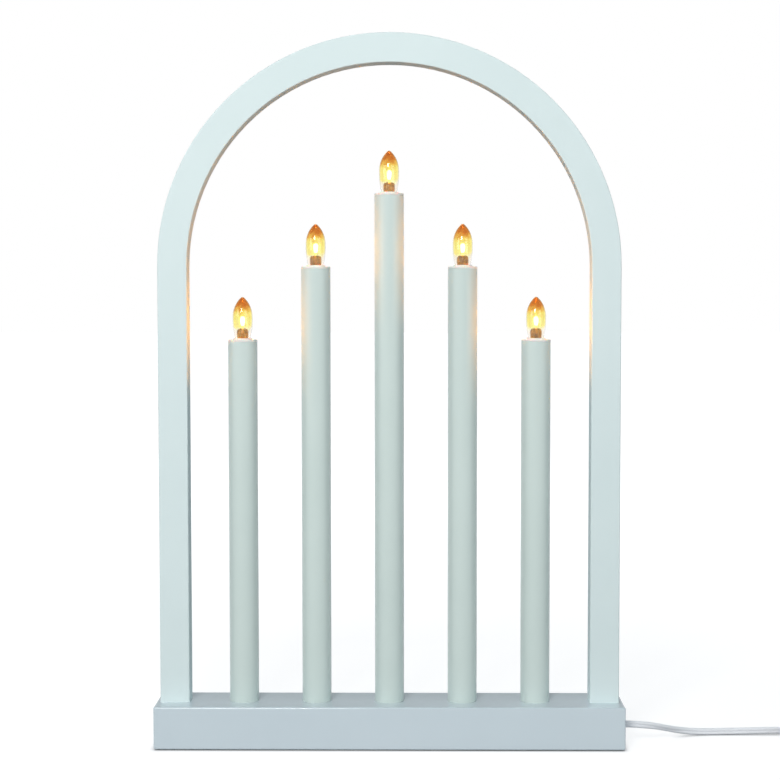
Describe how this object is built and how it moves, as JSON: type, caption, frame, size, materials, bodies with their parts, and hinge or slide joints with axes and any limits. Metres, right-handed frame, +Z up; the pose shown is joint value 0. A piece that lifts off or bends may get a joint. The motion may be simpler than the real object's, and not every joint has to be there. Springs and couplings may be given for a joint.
{
  "type": "candle arch",
  "caption": "White electric candle arch: stepped row of candle tubes with lit screw-in bulbs under a half-round arch on a flat base rail, with mains lead and plug.",
  "frame": {"origin": "on the surface it stands on, under the middle of the base rail", "axes": "+Z up, +X to the viewer's right along the base rail, +Y away from the viewer"},
  "size_m": [0.6, 0.0654, 0.4847],
  "materials": {
    "white_paint": "satin white paint on MDF",
    "candle_plastic": "smooth white plastic",
    "holder_plastic": "smooth white heat-proof plastic",
    "clear_glass": "clear",
    "lamp_mount": "clear stem with a glowing filament",
    "brass": "bright drawn brass",
    "black_glass": "black vitrified glass",
    "solder": "dull solder",
    "wire_plastic": "matt insulation",
    "crimp_sleeve": "smooth sleeve",
    "white_flex": "soft smooth insulation",
    "bush_plastic": "moulded",
    "plug_plastic": "moulded",
    "nickel_pins": "nickel plated",
    "tie_strap": "flat strap",
    "felt": "pressed felt",
    "hardboard": "smooth brown hardboard",
    "beech": "plain fluted beech",
    "zinc_steel": "zinc plated"
  },
  "bodies": {
    "stand": {"arch_frame": "white_paint", "leg_dowels": "beech", "base_rail": "white_paint", "base_cover": "hardboard", "base_screws": "zinc_steel", "felt_pads": "felt", "candle_tube_1": "candle_plastic", "candle_tube_2": "candle_plastic", "candle_tube_3": "candle_plastic", "candle_tube_4": "candle_plastic", "candle_tube_5": "candle_plastic", "lamp_holder_1": "holder_plastic", "lamp_holder_2": "holder_plastic", "lamp_holder_3": "holder_plastic", "lamp_holder_4": "holder_plastic", "lamp_holder_5": "holder_plastic", "socket_shells": "brass", "socket_springs": "brass", "series_wire_1": "wire_plastic", "series_wire_2": "wire_plastic", "series_wire_3": "wire_plastic", "series_wire_4": "wire_plastic", "series_wire_5": "wire_plastic", "series_wire_6": "wire_plastic", "wire_splices": "crimp_sleeve", "cord_inner": "white_flex", "cord_bush": "bush_plastic", "cord_clamp": "bush_plastic", "cord_free": "white_flex", "cord_coil": "white_flex", "cord_tail": "white_flex", "coil_tie": "tie_strap", "plug_body": "plug_plastic", "plug_pins": "nickel_pins"},
    "bulb_1_envelope": {"bulb_glass_1": "clear_glass"},
    "bulb_1_cap": {"bulb_cap_1": "brass", "bulb_insulator_1": "black_glass", "bulb_contact_1": "solder", "bulb_mount_1": "lamp_mount"},
    "bulb_2_envelope": {"bulb_glass_2": "clear_glass"},
    "bulb_2_cap": {"bulb_cap_2": "brass", "bulb_insulator_2": "black_glass", "bulb_contact_2": "solder", "bulb_mount_2": "lamp_mount"},
    "bulb_3_envelope": {"bulb_glass_3": "clear_glass"},
    "bulb_3_cap": {"bulb_cap_3": "brass", "bulb_insulator_3": "black_glass", "bulb_contact_3": "solder", "bulb_mount_3": "lamp_mount"},
    "bulb_4_envelope": {"bulb_glass_4": "clear_glass"},
    "bulb_4_cap": {"bulb_cap_4": "brass", "bulb_insulator_4": "black_glass", "bulb_contact_4": "solder", "bulb_mount_4": "lamp_mount"},
    "bulb_5_envelope": {"bulb_glass_5": "clear_glass"},
    "bulb_5_cap": {"bulb_cap_5": "brass", "bulb_insulator_5": "black_glass", "bulb_contact_5": "solder", "bulb_mount_5": "lamp_mount"}
  },
  "joints": [
    {"name": "bulb_1_lift", "type": "slide", "parent": "stand", "child": "bulb_1_envelope", "axis": [0, 0, 1], "range_m": [0, 0.00724]},
    {"name": "bulb_1_turn", "type": "hinge", "parent": "bulb_1_envelope", "child": "bulb_1_cap", "pos_m": [-0.1, 0, 0.2782], "axis": [0, 0, 1], "range_deg": [0, 1440]},
    {"name": "bulb_2_lift", "type": "slide", "parent": "stand", "child": "bulb_2_envelope", "axis": [0, 0, 1], "range_m": [0, 0.00724]},
    {"name": "bulb_2_turn", "type": "hinge", "parent": "bulb_2_envelope", "child": "bulb_2_cap", "pos_m": [-0.05, 0, 0.3277], "axis": [0, 0, 1], "range_deg": [0, 1440]},
    {"name": "bulb_3_lift", "type": "slide", "parent": "stand", "child": "bulb_3_envelope", "axis": [0, 0, 1], "range_m": [0, 0.00724]},
    {"name": "bulb_3_turn", "type": "hinge", "parent": "bulb_3_envelope", "child": "bulb_3_cap", "pos_m": [0, 0, 0.3772], "axis": [0, 0, 1], "range_deg": [0, 1440]},
    {"name": "bulb_4_lift", "type": "slide", "parent": "stand", "child": "bulb_4_envelope", "axis": [0, 0, 1], "range_m": [0, 0.00724]},
    {"name": "bulb_4_turn", "type": "hinge", "parent": "bulb_4_envelope", "child": "bulb_4_cap", "pos_m": [0.05, 0, 0.3277], "axis": [0, 0, 1], "range_deg": [0, 1440]},
    {"name": "bulb_5_lift", "type": "slide", "parent": "stand", "child": "bulb_5_envelope", "axis": [0, 0, 1], "range_m": [0, 0.00724]},
    {"name": "bulb_5_turn", "type": "hinge", "parent": "bulb_5_envelope", "child": "bulb_5_cap", "pos_m": [0.1, 0, 0.2782], "axis": [0, 0, 1], "range_deg": [0, 1440]}
  ],
  "couplings": [
    {"joint": "bulb_1_turn", "follows": "bulb_1_lift", "rad_per_m": 3471.4},
    {"joint": "bulb_2_turn", "follows": "bulb_2_lift", "rad_per_m": 3471.4},
    {"joint": "bulb_3_turn", "follows": "bulb_3_lift", "rad_per_m": 3471.4},
    {"joint": "bulb_4_turn", "follows": "bulb_4_lift", "rad_per_m": 3471.4},
    {"joint": "bulb_5_turn", "follows": "bulb_5_lift", "rad_per_m": 3471.4}
  ]
}
